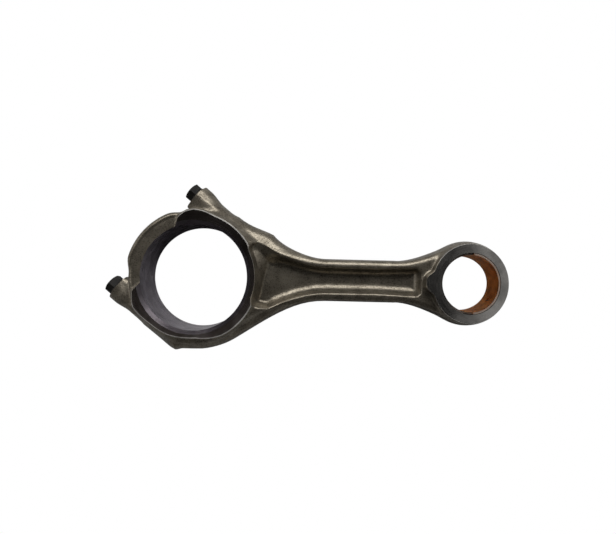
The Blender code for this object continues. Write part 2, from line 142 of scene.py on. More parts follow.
forging = {
    "step": 0.62, "margin": 3.0, "draft": 0.1, "thrustHeight": 19.0,
    "beamWidth": 29.9, "beamDepth": 12.0, "beamStart": 91.0, "beamEnd": 140.0, "beamEdge": 4.0,
    "eyeRadius": 29.5, "eyeTopRadius": 27.4, "eyeTopShift": -0.6, "eyeHeight": 14.0,
    "eyeLean": math.tan(math.radians(8)), "eyeDraft": 0.15, "farDraft": 0.33,
    "noseRadius": 7.2, "noseX": 166.3, "noseBlend": 2.0,
    "heelRadius": 51.2, "heelFloor": -51.05, "heelHeight": 14.5,
    "upperSide": 50.7, "lowerSide": 48.6, "seat": 37.7, "seatFlatness": 0.98,
    "bossAxis": 43.3, "bossRadius": 6.9, "bossSwell": 1.9, "bossFlatness": 0.64, "bossTailFlatness": 0.95,
    "bossEnd": -22.0, "gussetFrom": 33.0, "gussetHeight": 8.0,
    "wallRadius": 46.8, "wallHeight": 16.4, "neckAngle": 48,
    "crownRadius": 48.9, "crownHeight": 17.7, "crownHalfWidth": 27.0, "crownLowWidth": 24.6,
    "crownStrip": 44.6, "crownDip": 1.3, "crownSlope": 0.12,
    "webHalf": 3.5, "pocketHalf": 8.6, "pocketWall": 43.6, "pocketEnd": 157.4, "pocketCorner": 4.2,
    "pocketDraft": 0.26, "pocketFillet": 5.0, "endFillet": 2.2, "pocketEdge": 1.4,
    "pocketMouth": (50.4, 15.9), "fanAngle": 25,
    "rampDraft": 2.6, "rampAt": (40.0, 24.0), "rampSpread": 14.0,
    # distances over which one height, draft or blend gives way to another, along the rod or up from the split
    "ontoEye": (150, 172), "farEye": (182, 222), "neckFall": (36, 84), "bossTail": (-15, 12),
    "seatFlare": (18, 35), "swellFlare": (20, 33), "filletGrowth": (48, 58),
    # widths of the rounded joins
    "crisp": 1.0, "soft": 4.0, "softest": 6.0,
    # edge of the ground thrust face: heading from the crank bore in degrees, and radius
    "thrustEdge": [(-180, 29), (-174, 33), (-166, 42), (-152, 44.9), (-141, 43.4), (-130, 42.1), (-112, 42.0),
                   (-96, 41.0), (-86, 40.8), (-72, 42.6), (-62, 43.6), (0, 43.5), (15, 42.6), (30, 43.0),
                   (72, 43.6), (84, 45.4), (91, 45.9), (98, 44.9), (105, 42.2), (109, 38), (114, 31),
                   (180, 29)],
}


def eyeShoulder():
    f = forging
    turn = 110
    eye = arc((rod["centres"], 0), f["eyeRadius"], -turn, turn)
    return eye, sweep(eye[-1], turn + 90, (f["beamEnd"], f["beamWidth"] / 2), 180)


def wholeOutline():
    # The parting line, counter-clockwise from the eye: shoulder, upper boss, cap, lower boss, heel.
    f = forging
    half = f["beamWidth"] / 2
    eye, shoulder = eyeShoulder()
    bump = fromSplit(58.0, -21.0)
    upper = (
        [(f["beamEnd"], half), (f["beamStart"], half)]
        + sweep((f["beamStart"], half), 180, bump, 128, 0.8)
        + [bump]
        + sweep(bump, 152, fromSplit(f["upperSide"], 6), 137, 0.7, 6)
        + [fromSplit(f["upperSide"], 6)]
    )
    turn = math.degrees(rod["splitAngle"])
    crown = arc((0, 0), 45.0, turn + 35, turn + 145)
    corner = fromSplit(-f["lowerSide"], -22.0)
    floorEnd = (-1.0, f["heelFloor"])
    heel = arc((0, 0), f["heelRadius"], -84, -58)
    lower = (
        [fromSplit(-f["lowerSide"], 6), corner, (corner[0] + 5, f["heelFloor"]), floorEnd]
        + heel
        + sweep(heel[-1], 32, (f["beamStart"], -half), 0)
        + [(f["beamStart"], -half), (f["beamEnd"], -half)]
    )
    return eye + shoulder + upper + crown + lower + mirrored(shoulder)


def neckOutline():
    f = forging
    half = f["beamWidth"] / 2 - 1.5
    turn = f["neckAngle"]
    wall = arc((0, 0), f["wallRadius"], turn, 360 - turn)
    side = sweep((f["beamStart"], half), 180, wall[0], turn + 90)
    tail = [(f["beamEnd"], half), (f["beamStart"], half)] + side
    return tail + wall + mirrored(tail)


def pocketOutline():
    # Drawn in by the corner radius, which the field puts back with round corners.
    f = forging
    corner = f["pocketCorner"]
    half = f["pocketHalf"] - corner
    mouth = f["pocketMouth"]
    fan = f["fanAngle"]
    upper = (
        [(f["pocketEnd"] - corner, half + 1.0), (f["beamEnd"] - 14, half), (f["beamStart"], half + 0.2)]
        + sweep((f["beamStart"], half + 0.2), 180, mouth, 152, 0.9)
        + [mouth]
    )
    wall = arc((0, 0), f["pocketWall"] + corner, fan, -18)
    return upper + wall + mirrored(upper)


def eyeTopField(x, y):
    # A large circle round the pin bore, drawn out to a small nose towards the beam.
    f = forging
    eye = np.hypot(x - rod["centres"] - f["eyeTopShift"], y) - f["eyeTopRadius"]
    nose = np.hypot(x - f["noseX"], y) - f["noseRadius"]
    return smoothMin(eye, nose, f["noseBlend"])


def forgedField(x, y, z):
    f = forging
    high = np.abs(z)
    c, s = alongSplit
    across = x * c + y * s
    up = y * c - x * s
    radius = np.hypot(x, y)
    heading = np.degrees(np.arctan2(y, x))
    onEye = ease(x, *f["ontoEye"])
    lean = f["draft"] + (f["eyeDraft"] - f["draft"]) * onEye
    lean = lean + (f["farDraft"] - f["eyeDraft"]) * ease(x, *f["farEye"])

    # Low plan: beam, shoulders, heel and the web that carries the bosses.
    plan = outlineField(wholeOutline(), x[:, :, 0], y[:, :, 0])[:, :, None]
    onHeel = ease(-y, 22, 38) * ease(45 - x, 0, 25)
    lowTop = f["beamDepth"] - 1.5 * ease(up, -30, 0) * (1 - onHeel) + onHeel * (f["heelHeight"] - 12)
    edge = f["beamEdge"] + 5.0 * ease(88 - x, 0, 32)
    field = smoothMax(plan + high * lean, high - lowTop, edge)

    # Wall round the crank bore, carried down into the beam's flanges.
    neck = outlineField(neckOutline(), x[:, :, 0], y[:, :, 0])[:, :, None]
    neckTop = 9.0 + (f["wallHeight"] - 9.0) * (1 - ease(x, *f["neckFall"]))
    field = smoothMin(field, smoothMax(neck + high * lean, high - neckTop, f["soft"]), 3.0)

    # Bolt bosses: flattened columns that swell under the bolt heads.
    tail = 1 - ease(up, *f["bossTail"])
    flatness = f["bossFlatness"] + (f["bossTailFlatness"] - f["bossFlatness"]) * tail
    flatness = flatness + (f["seatFlatness"] - f["bossFlatness"]) * ease(up, *f["seatFlare"])
    for side in (1, -1):
        swell = f["bossRadius"] + f["bossSwell"] * ease(up, *f["swellFlare"])
        column = np.hypot(across * side - f["bossAxis"], high * flatness) - swell
        column = smoothMax(column, f["bossEnd"] - up, f["softest"])
        column = smoothMax(column, up - f["seat"] - 3, f["crisp"])
        field = smoothMin(field, column, f["soft"])
        gusset = smoothMax(f["gussetFrom"] - across * side, high - f["gussetHeight"], f["soft"])
        gusset = smoothMax(gusset, across * side - f["bossAxis"], f["crisp"])
        gusset = smoothMax(gusset, 20 - up, f["soft"])
        gusset = smoothMax(gusset, up - f["seat"] - 3, f["crisp"])
        field = smoothMin(field, gusset, f["soft"])

    # Cap crown.
    inward = np.maximum(f["crownStrip"] - radius, 0)
    crownTop = f["crownHeight"] - f["crownDip"] * ease(inward, -0.5, 1.5) - f["crownSlope"] * inward
    crown = smoothMax(radius - f["crownRadius"] + high * lean, high - crownTop, f["soft"])
    crown = smoothMax(crown, np.maximum(across - f["crownHalfWidth"], -across - f["crownLowWidth"]), 7.0)
    crown = smoothMax(crown, 8 - up, f["soft"])
    field = smoothMin(field, crown, 3.0)

    # Raised lip that is ground flat as the thrust face.
    angles, radii = zip(*f["thrustEdge"])
    rim = np.interp(heading[:, :, 0], angles, radii)[:, :, None]
    lip = smoothMax((radius - rim) * 0.85 + (high - f["thrustHeight"]) * 0.53, high - 20.6, 0.8)
    lip = smoothMax(lip, 15 - high, 1.5)
    field = smoothMin(field, lip, 1.8)

    # Eye and nose.
    face = f["eyeHeight"] - (x - rod["centres"]) * f["eyeLean"]
    eye = (eyeTopField(x, y) + (high - face) * lean) / 1.02
    eye = smoothMax(eye, plan, f["crisp"])
    field = smoothMin(field, smoothMax(eye, high - 21, f["crisp"]), 3.6 - 2.0 * ease(182 - x, 0, 10))

    # I-section pocket on both sides.
    pocket = outlineField(pocketOutline(), x[:, :, 0], y[:, :, 0])[:, :, None]
    fromRamp = (x - f["rampAt"][0]) ** 2 + (y - f["rampAt"][1]) ** 2
    ramp = f["rampDraft"] * np.exp(-fromRamp / f["rampSpread"] ** 2)
    depth = f["beamDepth"] - high
    walls = pocket - f["pocketCorner"] + depth * f["pocketDraft"] + np.maximum(depth, 0) * ramp
    walls = walls / (1.04 + 0.3 * ramp)
    fillet = f["endFillet"] + (f["pocketFillet"] - f["endFillet"]) * ease(radius, *f["filletGrowth"])
    hollow = smoothMax(walls, f["webHalf"] - high, fillet)
    return smoothMax(field, -hollow, f["pocketEdge"])


def forgedBlank():
    f = forging
    step, margin = f["step"], f["margin"]
    low = (-66.0 - margin, -55.0 - margin, -21.0 - margin)
    high = (rod["centres"] + f["eyeRadius"] + margin, 70.0 + margin, 21.0 + margin)
    axes = [np.arange(a, b + step, step, dtype=np.float32) for a, b in zip(low, high)]
    middle = len(axes[2]) // 2
    axes[2] = (np.arange(len(axes[2])) - middle).astype(np.float32) * step
    x = axes[0][:, None, None] + np.zeros((1, len(axes[1]), 1), np.float32)
    y = axes[1][None, :, None] + np.zeros((len(axes[0]), 1, 1), np.float32)
    field = forgedField(x, y, axes[2][None, None, :]).astype(np.float32)
    grid = openvdb.FloatGrid(3.0)
    grid.copyFromArray(np.clip(field, -3, 3))
    points, quads = grid.convertToQuads(0.0)
    points = np.asarray(points, np.float64) * step + [axes[0][0], axes[1][0], axes[2][0]]
    mesh = bpy.data.meshes.new("forgedBlank")
    mesh.from_pydata(points.tolist(), [], np.asarray(quads)[:, ::-1].tolist())
    build = bmesh.new()
    build.from_mesh(mesh)
    bmesh.ops.recalc_face_normals(build, faces=build.faces)
    build.to_mesh(mesh)
    build.free()
    print("forged blank:", len(mesh.polygons), "faces")
    return addObject("forgedBlank", mesh)


def block(name, low, high, place=Matrix.Identity(4)):
    build = bmesh.new()
    bmesh.ops.create_cube(build, size=1)
    low, high = Vector(low), Vector(high)
    bmesh.ops.scale(build, verts=build.verts, vec=high - low)
    bmesh.ops.translate(build, verts=build.verts, vec=(low + high) / 2)
    bmesh.ops.transform(build, matrix=place, verts=build.verts)
    return addObject(name, meshFrom(name, build))


def prism(name, outline, halfDepth, place):
    build = bmesh.new()
    face = build.faces.new([build.verts.new((a, b, -halfDepth)) for a, b in outline])
    grown = bmesh.ops.extrude_face_region(build, geom=[face])
    top = [item for item in grown["geom"] if isinstance(item, bmesh.types.BMVert)]
    bmesh.ops.translate(build, verts=top, vec=(0, 0, 2 * halfDepth))
    bmesh.ops.transform(build, matrix=place, verts=build.verts)
    return addObject(name, meshFrom(name, build))


def turned(name, profile, sides, place=Matrix.Identity(4)):
    # A profile of (radius, height) that starts and ends on the axis, or a closed ring clear of it.
    build = bmesh.new()
    closed = profile[0][0] > 0
    rings = []
    for radius, height in profile:
        if radius == 0:
            rings.append([build.verts.new((0, 0, height))])
            continue
        turns = [2 * math.pi * i / sides for i in range(sides)]
        rings.append([build.verts.new((radius * math.cos(t), radius * math.sin(t), height)) for t in turns])
    pairs = list(zip(rings, rings[1:])) + ([(rings[-1], rings[0])] if closed else [])
    for upper, lower in pairs:
        for i in range(sides):
            j = (i + 1) % sides
            corners = [ring[k % len(ring)] for ring, k in ((upper, i), (lower, i), (lower, j), (upper, j))]
            build.faces.new(list(dict.fromkeys(corners)))
    bmesh.ops.transform(build, matrix=place, verts=build.verts)
    return addObject(name, meshFrom(name, build))


def cut(obj, tool):
    modifier = obj.modifiers.new("cut", "BOOLEAN")
    modifier.object = tool
    modifier.operation = "DIFFERENCE"
    modifier.solver = "MANIFOLD"
    graph = bpy.context.evaluated_depsgraph_get()
    result = bpy.data.meshes.new_from_object(obj.evaluated_get(graph))
    obj.modifiers.clear()
    old = obj.data
    obj.data = result
    bpy.data.meshes.remove(old)
    bpy.data.objects.remove(tool)


machining = {
    "chamfer": 2.4, "boreSides": 288, "jointGap": 0.05, "housingRadius": 21.5, "housingSides": 192,
    "boltHole": 5.3, "boltReach": 18.0, "boltSides": 48, "drillPoint": 1.5, "seatInner": 30.5,
    "oilHole": 1.6, "oilAngle": -35, "oilSides": 32,
    # how far the cutters reach past the metal, and where the eye's own cut starts and ends
    "reach": 60.0, "boreReach": 12.0, "eyeFrom": 140.0, "eyeTo": 250.0, "thrustTo": 120.0, "clear": 300.0,
}
onEdge = Matrix.Rotation(math.pi / 2, 4, "X")  # stands a plan outline up, so that it runs across the rod


def crankBoreTool():
    m = machining
    radius = rod["crankRadius"]
    straight = forging["thrustHeight"] - m["chamfer"]
    wide = radius + m["chamfer"] + m["boreReach"]
    end = forging["thrustHeight"] + m["boreReach"]
    profile = [(0, end), (wide, end), (radius, straight), (radius, -straight), (wide, -end), (0, -end)]
    return turned("crankBore", profile, m["boreSides"])


def oilHoleTool():
    m = machining
    turn = Matrix.Rotation(math.radians(m["oilAngle"]), 4, "Z") @ Matrix.Rotation(math.pi / 2, 4, "Y")
    profile = [(0, 40), (m["oilHole"], 40), (m["oilHole"], 5), (0, 5)]
    return turned("oilHole", profile, m["oilSides"], Matrix.Translation((rod["centres"], 0, 0)) @ turn)


def boltPlace(side, up):
    # A bolt's axis, turned so that its own Z points away from the rod.
    shift = Matrix.Translation((side * forging["bossAxis"], up, 0))
    return inSplit() @ shift @ Matrix.Rotation(-math.pi / 2, 4, "X")


def machine(blank):
    f, m = forging, machining
    reach, near, far = m["reach"], m["eyeFrom"], m["eyeTo"]
    for side in (1, -1):
        low, high = sorted((side * f["thrustHeight"], side * reach))
        cut(blank, block("thrustCut", (-90, -90, low), (m["thrustTo"], 90, high)))
        heights = [f["eyeHeight"] - (x - rod["centres"]) * f["eyeLean"] for x in (near, far)]
        wedge = [(near, side * heights[0]), (far, side * heights[1])]
        wedge += [(far, side * reach), (near, side * reach)]
        cut(blank, prism("faceCut", wedge, reach, onEdge))
    cut(blank, crankBoreTool())
    pinBore = [(0, 30), (m["housingRadius"], 30), (m["housingRadius"], -30), (0, -30)]
    place = Matrix.Translation((rod["centres"], 0, 0))
    cut(blank, turned("pinBore", pinBore, m["housingSides"], place))
    for side in (1, -1):
        inner, outer = sorted((side * m["seatInner"], side * 70.0))
        cut(blank, block("seatCut", (inner, f["seat"], -40), (outer, 70, 40), inSplit()))
        top, bottom = f["seat"] + m["boreReach"], -m["boltReach"] - m["drillPoint"]
        hole = [(0, top), (m["boltHole"], top), (m["boltHole"], bottom), (0, bottom - m["drillPoint"])]
        cut(blank, turned("boltHole", hole, m["boltSides"], boltPlace(side, 0)))
    cut(blank, oilHoleTool())


def splitOff(blank):
    # Leaves the rod on one side of the split plane and the cap on the other.
    m = machining
    gap, clear = m["jointGap"], m["clear"]
    cap = addObject("cap", blank.data.copy())
    cut(cap, block("rodSide", (-clear, -clear, -90), (clear, gap, 90), inSplit()))
    cut(blank, block("capSide", (-clear, -gap, -90), (clear, clear, 90), inSplit()))
    return blank, cap


sorting = {
    "flat": 0.03, "onBore": 0.25, "onHole": 0.1, "wornEdgeHighlight": 1.2, "edgeHighlightRadius": 47.5, "steep": 0.35,
    "eyeFrom": 140,
}


def markSurfaces(mesh, faceKinds):
    # Sorts the faces into forged skin, ground faces, bores and chamfers by where the cutters went.
    f, m = forging, machining
    count = len(mesh.polygons)
    centre = np.empty(count * 3)
    normal = np.empty(count * 3)
    mesh.polygons.foreach_get("center", centre)
    mesh.polygons.foreach_get("normal", normal)
    x, y, z = centre.reshape(-1, 3).T
    nx, ny, nz = normal.reshape(-1, 3).T
    c, s = alongSplit
    up = y * c - x * s
    across = x * c + y * s
    normalUp = ny * c - nx * s
    slant = np.abs(nz)
    high = np.abs(z)
    radius = np.hypot(x, y)
    pinRadius = np.hypot(x - rod["centres"], y)
    onEye = x > sorting["eyeFrom"]
    eyeTop = f["eyeHeight"] - (x - rod["centres"]) * f["eyeLean"]
    kind = np.zeros(count, int)
    kind[(slant > 0.999) & (np.abs(high - f["thrustHeight"]) < sorting["flat"])] = faceKinds["ground"]
    kind[onEye & (np.abs(high - eyeTop) < sorting["flat"]) & (slant > 0.98)] = faceKinds["eye"]
    seat = (np.abs(up - f["seat"]) < sorting["flat"]) | (np.abs(np.abs(up) - m["jointGap"]) < sorting["flat"])
    kind[seat & (np.abs(normalUp) > 0.99)] = faceKinds["ground"]
    # The thin band of skin just under the ground and eye faces gets the edge finish: bared worn metal, made
    # much brighter as a painted highlight along the rims.
    below = np.where(onEye, eyeTop, f["thrustHeight"]) - high
    worn = (below > sorting["flat"]) & (below < sorting["wornEdgeHighlight"]) & (slant < 0.97)
    kind[worn & (onEye | (radius < sorting["edgeHighlightRadius"]))] = faceKinds["edge"]
    for fromAxis, bore in ((radius, rod["crankRadius"]), (pinRadius, m["housingRadius"])):
        kind[(np.abs(fromAxis - bore) < sorting["onBore"]) & (slant < 0.05)] = faceKinds["bore"]
    inward = nx * x + ny * y < 0
    rim = radius < rod["crankRadius"] + m["chamfer"] + 0.05
    steep = (slant > sorting["steep"]) & (slant < 0.95)
    kind[inward & rim & steep & (high > f["thrustHeight"] - m["chamfer"] - 0.1)] = faceKinds["chamfer"]
    off = np.abs(across) - f["bossAxis"]
    normalAcross = (nx * c + ny * s) * np.sign(across)
    inHole = np.abs(np.hypot(off, z) - m["boltHole"]) < sorting["onHole"]
    kind[inHole & (off * normalAcross + z * nz < -0.9 * m["boltHole"])] = faceKinds["ground"]
    mesh.polygons.foreach_set("material_index", kind.astype(np.int32))


def sharpen(mesh, angle):
    # Smooth shading, with crisp edges at steep turns and where one surface finish meets another.
    build = bmesh.new()
    build.from_mesh(mesh)
    for face in build.faces:
        face.smooth = True
    for edge in build.edges:
        ends = edge.link_faces
        if len(ends) == 2:
            differ = ends[0].material_index != ends[1].material_index
            edge.smooth = not differ and edge.calc_face_angle(0) < angle
    build.to_mesh(mesh)
    build.free()


def settle(obj, name, materials):
    # Moves a piece to its place in the frame, with the place in its mesh.
    obj.data.transform(toWorld())
    obj.name = name
    obj.data.name = name
    kinds = np.empty(len(obj.data.polygons), np.int32)
    obj.data.polygons.foreach_get("material_index", kinds)
    obj.data.materials.clear()  # this also sets every face back to the first material
    for material in materials:
        obj.data.materials.append(material)
    obj.data.polygons.foreach_set("material_index", kinds)
    return obj


bush = {
    "outer": 21.2, "lean": math.tan(math.radians(8)), "height": 13.6, "stepFrom": 1.5, "stepDrop": 1.2,
    "sides": 192, "halfBlank": 22.0, "near": -40.0, "far": 40.0, "reach": 60.0,
}


def makeBush():
    b = bush
    near, far, reach = b["near"], b["far"], b["reach"]
    place = Matrix.Translation((rod["centres"], 0, 0))
    ring = turned("bush", [
        (b["outer"], b["halfBlank"]), (b["outer"], -b["halfBlank"]),
        (rod["pinRadius"], -b["halfBlank"]), (rod["pinRadius"], b["halfBlank"]),
    ], b["sides"], place)
    for side in (1, -1):
        ends = [(x, side * (b["height"] - x * b["lean"])) for x in (near, far)]
        wedge = ends + [(far, side * reach), (near, side * reach)]
        cut(ring, prism("endCut", wedge, reach, place @ onEdge))
        step = b["height"] - b["stepFrom"] * b["lean"] - b["stepDrop"]
        low, high = sorted((side * step, side * reach))
        cut(ring, block("stepCut", (near, -reach, low), (b["stepFrom"], reach, high), place))
    cut(ring, oilHoleTool())
    return ring


bolt = {
    "Across Flats": 12.0, "Head Height": 5.2, "Flange Radius": 6.9, "Flange Height": 1.4, "Shank Radius": 5.0,
    "Shank Length": 56.0, "Thread Length": 22.0, "Thread Pitch": 1.5, "Thread Depth": 0.85, "gap": 0.3,
}


def makeBoltTree():
    tree = bpy.data.node_groups.new("capBolt", "GeometryNodeTree")
    sockets = tree.interface
    sockets.new_socket("Geometry", in_out="OUTPUT", socket_type="NodeSocketGeometry")
    for key in bolt:
        if key[0].isupper():
            sockets.new_socket(key, in_out="INPUT", socket_type="NodeSocketFloat")
    sockets.new_socket("Finish", in_out="INPUT", socket_type="NodeSocketMaterial")
    nodes, links = tree.nodes, tree.links
    given = nodes.new("NodeGroupInput").outputs
    shown = nodes.new("NodeGroupOutput").inputs

    def feed(socket, value):
        if hasattr(value, "is_linked"):
            links.new(value, socket)
        else:
            socket.default_value = value

    def calc(operation, first, second=0.0, third=None):
        node = nodes.new("ShaderNodeMath")
        node.operation = operation
        feed(node.inputs[0], first)
        feed(node.inputs[1], second)
        if third is not None:
            feed(node.inputs[2], third)
        return node.outputs[0]

    def combine(x=0.0, y=0.0, z=0.0):
        node = nodes.new("ShaderNodeCombineXYZ")
        for socket, value in zip(node.inputs, (x, y, z)):
            feed(socket, value)
        return node.outputs[0]

    def shifted(geometry, offset, turn=0.0):
        node = nodes.new("GeometryNodeTransform")
        feed(node.inputs["Geometry"], geometry)
        feed(node.inputs["Translation"], offset)
        node.inputs["Rotation"].default_value = (0, 0, turn)
        return node.outputs[0]

    def drum(sides, radius, depth, steps=1, topRadius=None):
        node = nodes.new("GeometryNodeMeshCylinder" if topRadius is None else "GeometryNodeMeshCone")
        node.inputs["Vertices"].default_value = sides
        node.inputs["Side Segments"].default_value = steps
        feed(node.inputs["Radius" if topRadius is None else "Radius Bottom"], radius)
        if topRadius is not None:
            feed(node.inputs["Radius Top"], topRadius)
        feed(node.inputs["Depth"], depth)
        return node.outputs["Mesh"]

    def position():
        node = nodes.new("ShaderNodeSeparateXYZ")
        links.new(nodes.new("GeometryNodeInputPosition").outputs[0], node.inputs[0])
        return node.outputs

    def moved(geometry, where):
        node = nodes.new("GeometryNodeSetPosition")
        links.new(geometry, node.inputs["Geometry"])
        links.new(where, node.inputs["Position"])
        return node.outputs[0]

    # The head: a round bar drawn in to a hexagon, whose corners are turned down at the top.
    full = calc("ADD", given["Head Height"], given["Flange Height"])
    bar = drum(120, 1.0, full, 24)
    x, y, z = position()
    sector = calc("MODULO", calc("ADD", calc("ARCTAN2", y, x), 4 * math.pi), math.pi / 3)
    flat = calc("MULTIPLY", given["Across Flats"], 0.5)
    hexagon = calc("DIVIDE", flat, calc("COSINE", calc("SUBTRACT", sector, math.pi / 6)))
    fromTop = calc("SUBTRACT", calc("MULTIPLY", full, 0.5), z)
    turnedDown = calc("ADD", calc("MULTIPLY", flat, 0.94), calc("MULTIPLY", fromTop, 1.7))
    reach = calc("MINIMUM", hexagon, turnedDown)
    head = moved(bar, combine(calc("MULTIPLY", x, reach), calc("MULTIPLY", y, reach), z))
    head = shifted(head, combine(z=calc("MULTIPLY", full, 0.5)), math.pi / 2)
    flangeTop = calc("MULTIPLY", given["Flange Radius"], 0.93)
    flange = drum(64, given["Flange Radius"], given["Flange Height"], topRadius=flangeTop)

    # The shank, whose lower end is displaced into a thread that fades in over one turn.
    bare = drum(48, given["Shank Radius"], given["Shank Length"], 128)
    down = calc("MULTIPLY", given["Shank Length"], -0.5)
    x, y, z = position()
    turn = calc("DIVIDE", calc("ARCTAN2", y, x), 2 * math.pi)
    phase = calc("FRACT", calc("SUBTRACT", calc("DIVIDE", z, given["Thread Pitch"]), turn))
    groove = calc("MULTIPLY", calc("ABSOLUTE", calc("SUBTRACT", phase, 0.5)), 2.0)
    start = calc("SUBTRACT", given["Thread Length"], calc("MULTIPLY", given["Shank Length"], 0.5))
    fade = calc("DIVIDE", calc("SUBTRACT", start, z), given["Thread Pitch"])
    clamp = nodes.new("ShaderNodeClamp")
    links.new(fade, clamp.inputs["Value"])
    depth = calc("MULTIPLY", calc("MULTIPLY", groove, given["Thread Depth"]), clamp.outputs[0])
    share = calc("SUBTRACT", 1.0, calc("DIVIDE", depth, given["Shank Radius"]))
    threaded = moved(bare, combine(calc("MULTIPLY", x, share), calc("MULTIPLY", y, share), z))
    shank = shifted(threaded, combine(z=down))

    join = nodes.new("GeometryNodeJoinGeometry")
    for part in (head, flange, shank):
        links.new(part, join.inputs[0])
    realize = nodes.new("GeometryNodeRealizeInstances")
    links.new(join.outputs[0], realize.inputs[0])
    finish = nodes.new("GeometryNodeSetMaterial")
    links.new(realize.outputs[0], finish.inputs["Geometry"])
    links.new(given["Finish"], finish.inputs["Material"])
    links.new(finish.outputs[0], shown[0])
    return tree


def makeBolt(tree, name, side, material):
    # The bolt starts upright on its seat, then turns into the split plane's frame.
    obj = addObject(name, bpy.data.meshes.new(name))
    modifier = obj.modifiers.new("build", "NODES")
    modifier.node_group = tree
    for item in tree.interface.items_tree:
        if item.in_out == "INPUT":
            modifier[item.identifier] = material if item.name == "Finish" else bolt[item.name]
    graph = bpy.context.evaluated_depsgraph_get()
    mesh = bpy.data.meshes.new_from_object(obj.evaluated_get(graph))
    obj.modifiers.clear()
    obj.data = mesh
    mesh.transform(boltPlace(side, forging["seat"] + bolt["gap"]))
    return obj


def addNode(tree, kind, given={}, **settings):
    node = tree.nodes.new(kind)
    for key, value in settings.items():
        setattr(node, key, value)
    for key, value in given.items():
        if isinstance(value, bpy.types.NodeSocket):
            tree.links.new(value, node.inputs[key])
        else:
            node.inputs[key].default_value = value
    return node


def mapRange(tree, value, low, high, first=0.0, last=1.0):
    ends = {"Value": value, "From Min": low, "From Max": high, "To Min": first, "To Max": last}
    return addNode(tree, "ShaderNodeMapRange", ends).outputs[0]


def maths(tree, operation, *values):
    return addNode(tree, "ShaderNodeMath", dict(enumerate(values)), operation=operation).outputs[0]


def noise(tree, where, scale, detail, roughness=0.5):
    settings = {"Vector": where, "Scale": scale, "Detail": detail, "Roughness": roughness}
    return addNode(tree, "ShaderNodeTexNoise", settings).outputs[0]


def newGroup(name, inputs, outputs):
    group = bpy.data.node_groups.new(name, "ShaderNodeTree")
    for key, (kind, value) in inputs.items():
        socket = group.interface.new_socket(key, in_out="INPUT", socket_type=kind)
        socket.default_value = value
    for key, kind in outputs.items():
        group.interface.new_socket(key, in_out="OUTPUT", socket_type=kind)
    return group, addNode(group, "NodeGroupInput").outputs, addNode(group, "NodeGroupOutput").inputs


def makeForgeGroup():
    # Scale left by the dies: broad patches, a finer mottle and a pitted grain.
    group, given, shown = newGroup(
        "forgeScale", {"Patch Scale": ("NodeSocketFloat", 60.0), "Grain Scale": ("NodeSocketFloat", 1400.0)},
        {"Patches": "NodeSocketFloat", "Grain": "NodeSocketFloat"},
    )
    where = addNode(group, "ShaderNodeTexCoord").outputs["Object"]
    broad = noise(group, where, given["Patch Scale"], 4.0, 0.6)
    grain = noise(group, where, given["Grain Scale"], 3.0, 0.65)
    pits = addNode(group, "ShaderNodeTexVoronoi", {"Vector": where, "Scale": given["Grain Scale"]})
    sink = mapRange(group, pits.outputs["Distance"], 0.1, 0.5)
    group.links.new(mapRange(group, broad, 0.35, 0.65), shown["Patches"])
    group.links.new(maths(group, "MULTIPLY", grain, sink), shown["Grain"])
    return group


def makeToolGroup():
    # Cutter marks: rings about an axis, or bands along a bore, each broken up by noise.
    group, given, shown = newGroup(
        "toolMarks", {"Centre": ("NodeSocketVector", (0, 0, 0)), "Spacing": ("NodeSocketFloat", 2500.0),
                      "Along Bore": ("NodeSocketFloat", 0.0)},
        {"Marks": "NodeSocketFloat", "Smears": "NodeSocketFloat", "Side": "NodeSocketFloat"},
    )
    where = addNode(group, "ShaderNodeTexCoord").outputs["Object"]
    offset = addNode(group, "ShaderNodeVectorMath", {0: where, 1: given["Centre"]}, operation="SUBTRACT")
    split = addNode(group, "ShaderNodeSeparateXYZ", {0: offset.outputs[0]})
    flat = addNode(group, "ShaderNodeCombineXYZ", {"X": split.outputs["X"], "Y": split.outputs["Y"]})
    radius = addNode(group, "ShaderNodeVectorMath", {0: flat.outputs[0]}, operation="LENGTH")
    turn = maths(group, "ARCTAN2", split.outputs["Y"], split.outputs["X"])
    pick = addNode(group, "ShaderNodeMix", {"Factor": given["Along Bore"], "A": radius.outputs["Value"],
                                            "B": split.outputs["Z"]})
    step = maths(group, "MULTIPLY", pick.outputs[0], given["Spacing"])
    slow = maths(group, "MULTIPLY", turn, 1.4)
    track = addNode(group, "ShaderNodeCombineXYZ", {"X": step, "Y": slow})
    group.links.new(noise(group, track.outputs[0], 1.0, 3.0), shown["Marks"])
    group.links.new(noise(group, where, 90.0, 3.0), shown["Smears"])
    group.links.new(mapRange(group, split.outputs["Y"], 0.02, -0.045), shown["Side"])
    return group


def startMaterial(name, metal):
    mat = bpy.data.materials.new(name)
    mat.use_nodes = True
    tree = mat.node_tree
    shader = tree.nodes["Principled BSDF"]
    shader.inputs["Metallic"].default_value = metal
    return mat, tree, shader


def colourMix(tree, factor, first, second):
    mix = tree.nodes.new("ShaderNodeMix")
    mix.data_type = "RGBA"
    ends = [socket for socket in mix.inputs if socket.type == "RGBA"]
    ends[0].default_value = (*first, 1)
    ends[1].default_value = (*second, 1)
    tree.links.new(factor, mix.inputs[0])
    return next(socket for socket in mix.outputs if socket.type == "RGBA")


